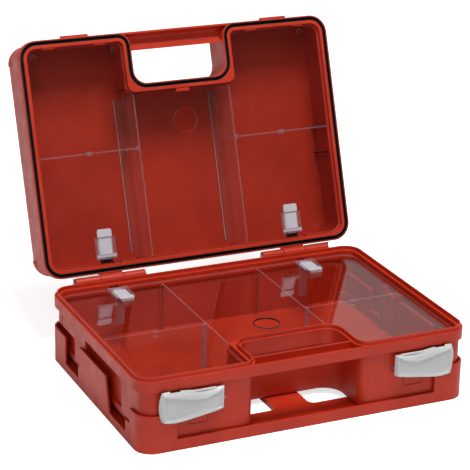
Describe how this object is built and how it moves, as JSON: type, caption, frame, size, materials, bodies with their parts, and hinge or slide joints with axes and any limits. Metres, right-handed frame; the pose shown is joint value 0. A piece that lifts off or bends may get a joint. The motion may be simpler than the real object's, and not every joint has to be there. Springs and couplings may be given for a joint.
{
  "type": "specimen transport box",
  "caption": "Rigid carry case with a laid-back lid, clear covered compartments, draw latches and a hand opening, standing in a separate wall bracket.",
  "frame": {"origin": "middle of the bracket's wall face, under the centre of the case", "axes": "+X across the width, -Y towards the handle and latches, +Y towards the hinge, +Z away from the bracket's wall face"},
  "size_m": [0.4, 0.4409, 0.3563],
  "materials": {
    "case_orange": "satin moulded",
    "grey_plastic": "satin moulded",
    "white_plastic": "satin moulded",
    "clear_plastic": "clear polished",
    "black_rubber": "soft",
    "steel": "bright drawn wire"
  },
  "bodies": {
    "bracket": {"wall_bracket": "case_orange"},
    "base": {"base_shell": "case_orange", "base_divider_left": "clear_plastic", "base_divider_right": "clear_plastic", "base_cross_divider_left": "clear_plastic", "base_cross_divider_right": "clear_plastic", "hinge_pin_left": "steel", "hinge_pin_right": "steel", "latch_base_pin_left": "steel", "latch_base_pin_right": "steel"},
    "lid": {"lid_shell": "case_orange", "lid_seal": "black_rubber", "lid_divider_left": "clear_plastic", "lid_divider_right": "clear_plastic", "lid_cross_divider_left": "clear_plastic", "lid_cross_divider_right": "clear_plastic"},
    "base_cover": {"base_cover": "clear_plastic"},
    "lid_cover": {"lid_cover": "clear_plastic"},
    "base_bolt_left": {"base_bolt_left": "white_plastic"},
    "lid_bolt_left": {"lid_bolt_left": "white_plastic"},
    "latch_link_left": {"latch_link_left": "grey_plastic"},
    "latch_lever_left": {"latch_lever_left": "grey_plastic", "latch_lever_pin_left": "steel"},
    "base_bolt_right": {"base_bolt_right": "white_plastic"},
    "lid_bolt_right": {"lid_bolt_right": "white_plastic"},
    "latch_link_right": {"latch_link_right": "grey_plastic"},
    "latch_lever_right": {"latch_lever_right": "grey_plastic", "latch_lever_pin_right": "steel"}
  },
  "joints": [
    {"name": "base_lift", "type": "slide", "parent": "bracket", "child": "base", "axis": [0, 0, 1], "range_m": [0, 0.08]},
    {"name": "lid_hinge", "type": "hinge", "parent": "base", "child": "lid", "pos_m": [0, 0.1474, 0.0832], "axis": [-1, 0, 0], "range_deg": [-109.7, 0]},
    {"name": "base_cover_hinge", "type": "hinge", "parent": "base", "child": "base_cover", "pos_m": [0, -0.1283, 0.077], "axis": [1, 0, 0], "range_deg": [0, 60]},
    {"name": "lid_cover_hinge", "type": "hinge", "parent": "lid", "child": "lid_cover", "pos_m": [0, 0.24313, 0.34017], "axis": [-1, 0, 0], "range_deg": [0, 75]},
    {"name": "base_bolt_left_slide", "type": "slide", "parent": "base_cover", "child": "base_bolt_left", "axis": [0, 1, 0], "range_m": [0, 0.0105]},
    {"name": "lid_bolt_left_slide", "type": "slide", "parent": "lid_cover", "child": "lid_bolt_left", "axis": [0, -0.3371, -0.9415], "range_m": [0, 0.009]},
    {"name": "latch_left_link_swing", "type": "hinge", "parent": "base", "child": "latch_link_left", "pos_m": [-0.129, -0.1421, 0.0636], "axis": [-1, 0, 0], "range_deg": [0, 178]},
    {"name": "latch_left_lever_swing", "type": "hinge", "parent": "latch_link_left", "child": "latch_lever_left", "pos_m": [-0.129, -0.1421, 0.0532], "axis": [-1, 0, 0], "range_deg": [-206, 20]},
    {"name": "base_bolt_right_slide", "type": "slide", "parent": "base_cover", "child": "base_bolt_right", "axis": [0, 1, 0], "range_m": [0, 0.0105]},
    {"name": "lid_bolt_right_slide", "type": "slide", "parent": "lid_cover", "child": "lid_bolt_right", "axis": [0, -0.3371, -0.9415], "range_m": [0, 0.009]},
    {"name": "latch_right_link_swing", "type": "hinge", "parent": "base", "child": "latch_link_right", "pos_m": [0.129, -0.1421, 0.0636], "axis": [-1, 0, 0], "range_deg": [0, 178]},
    {"name": "latch_right_lever_swing", "type": "hinge", "parent": "latch_link_right", "child": "latch_lever_right", "pos_m": [0.129, -0.1421, 0.0532], "axis": [-1, 0, 0], "range_deg": [-206, 20]}
  ],
  "couplings": [
    {"joint": "latch_left_lever_swing", "follows": "latch_left_link_swing", "ratio": -1},
    {"joint": "latch_right_lever_swing", "follows": "latch_right_link_swing", "ratio": -1}
  ]
}
